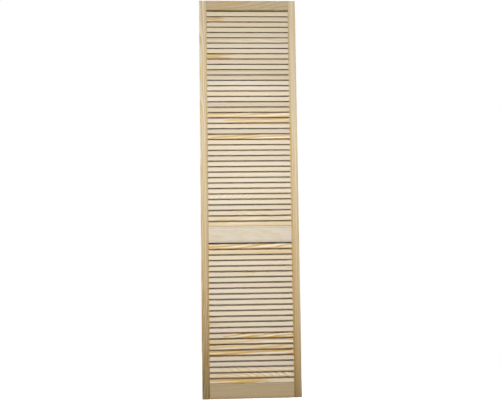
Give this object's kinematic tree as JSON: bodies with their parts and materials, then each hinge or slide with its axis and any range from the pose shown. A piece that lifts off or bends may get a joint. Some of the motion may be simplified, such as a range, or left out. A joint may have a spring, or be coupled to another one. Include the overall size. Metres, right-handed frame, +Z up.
{
  "type": "louvred cabinet door",
  "caption": "Tall raw pine louvred door leaf for a wardrobe or cupboard: moulded stiles and dowelled rails round two rows of fixed slanting slats.",
  "frame": {"origin": "on the leaf's lower edge, in the middle of its width and thickness", "axes": "+Z up along the stiles, +X to the right as seen from the front, front face towards -Y"},
  "size_m": [0.494, 0.021, 2.0132],
  "materials": {
    "stile": "planed and sanded raw pine, upright grain",
    "rail": "planed and sanded raw pine, grain across the leaf",
    "slat": "planed raw pine, pale sapwood with some figured slats",
    "dowel": "raw fluted beech, glued in and out of sight"
  },
  "bodies": {
    "root": {"left_stile": "stile", "right_stile": "stile", "top_rail": "rail", "mid_rail": "rail", "bottom_rail": "rail", "top_left_dowels": "dowel", "top_right_dowels": "dowel", "mid_left_dowels": "dowel", "mid_right_dowels": "dowel", "bottom_left_dowels": "dowel", "bottom_right_dowels": "dowel", "upper_slats_01_02": "slat", "upper_slats_03_04": "slat", "upper_slats_05_06": "slat", "upper_slats_07_08": "slat", "upper_slats_09_10": "slat", "upper_slats_11_12": "slat", "upper_slats_13_14": "slat", "upper_slats_15_16": "slat", "upper_slats_17_18": "slat", "upper_slats_19_20": "slat", "upper_slats_21_22": "slat", "upper_slats_23_24": "slat", "upper_slats_25_26": "slat", "upper_slats_27_28": "slat", "upper_slats_29_30": "slat", "upper_slats_31_32": "slat", "upper_slats_33_34": "slat", "upper_slats_35_36": "slat", "upper_slats_37_38": "slat", "upper_slats_39_40": "slat", "lower_slats_01_02": "slat", "lower_slats_03_04": "slat", "lower_slats_05_06": "slat", "lower_slats_07_08": "slat", "lower_slats_09_10": "slat", "lower_slats_11_12": "slat", "lower_slats_13_14": "slat", "lower_slats_15_16": "slat", "lower_slats_17_18": "slat", "lower_slats_19_20": "slat", "lower_slats_21_22": "slat", "lower_slats_23_24": "slat", "lower_slat_25": "slat"}
  },
  "joints": []
}
